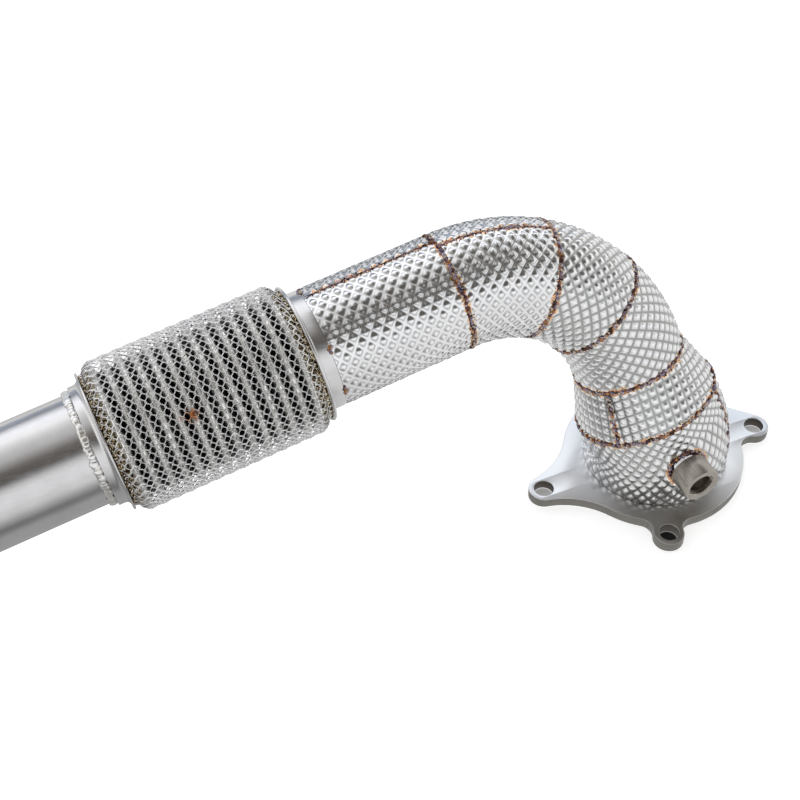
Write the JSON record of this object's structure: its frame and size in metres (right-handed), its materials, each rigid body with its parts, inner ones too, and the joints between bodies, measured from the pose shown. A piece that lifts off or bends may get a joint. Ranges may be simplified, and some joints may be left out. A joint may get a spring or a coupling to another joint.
{
  "type": "turbo downpipe",
  "caption": "Stainless turbo downpipe: bolt-on inlet flange, dimpled heat-shielded bend with a sensor boss, knitted flex section and a plain straight outlet tube.",
  "frame": {"origin": "centre of the inlet flange's mating face, on the axis of its bore", "axes": "+Z out of the flange along its bore, into the pipe; -X along the heading of the straight run to the outlet, which falls 8.5 degrees towards -Z; -Y towards the sensor boss"},
  "size_m": [0.641, 0.1971, 0.2251],
  "materials": {
    "flange_steel": "satin, blue-grey",
    "tube_steel": "brushed satin",
    "shield_steel": "bright embossed sheet with heat tint at its seams",
    "knit_steel": "knitted wire, satin",
    "hem_steel": "knitted wire, straw and olive heat tint",
    "bellows_steel": "bright formed sheet",
    "bung_steel": "turned, browned by welding heat",
    "tinted_weld": "rippled bead, brown, purple and blue heat tint",
    "bright_weld": "rippled bead, silver and straw",
    "ceramic_fibre": "matt felt"
  },
  "bodies": {
    "root": {"inlet_flange": "flange_steel", "inlet_cone": "tube_steel", "elbow_pipe": "tube_steel", "straight_pipe": "tube_steel", "outlet_tube": "tube_steel", "flex_front_collar": "tube_steel", "flex_rear_collar": "tube_steel", "shield_sleeve": "shield_steel", "shield_gore_1": "shield_steel", "shield_gore_2": "shield_steel", "shield_gore_3": "shield_steel", "shield_flare": "shield_steel", "shield_skirt": "shield_steel", "flex_knit_cover": "knit_steel", "front_knit_hem": "hem_steel", "rear_knit_hem": "hem_steel", "flex_bellows": "bellows_steel", "flex_liner": "bellows_steel", "oxygen_sensor_bung": "bung_steel", "seam_weld_1": "tinted_weld", "seam_weld_2": "tinted_weld", "seam_weld_3": "tinted_weld", "seam_weld_4": "tinted_weld", "seam_weld_5": "tinted_weld", "gore_lap_seam": "tinted_weld", "sleeve_lap_seam": "tinted_weld", "flare_lap_seam": "tinted_weld", "skirt_lap_seam": "tinted_weld", "collar_tack_1": "tinted_weld", "collar_tack_2": "tinted_weld", "collar_tack_3": "tinted_weld", "bung_weld": "tinted_weld", "flange_weld": "bright_weld", "outlet_weld": "bright_weld", "insulation_blanket": "ceramic_fibre"}
  },
  "joints": []
}
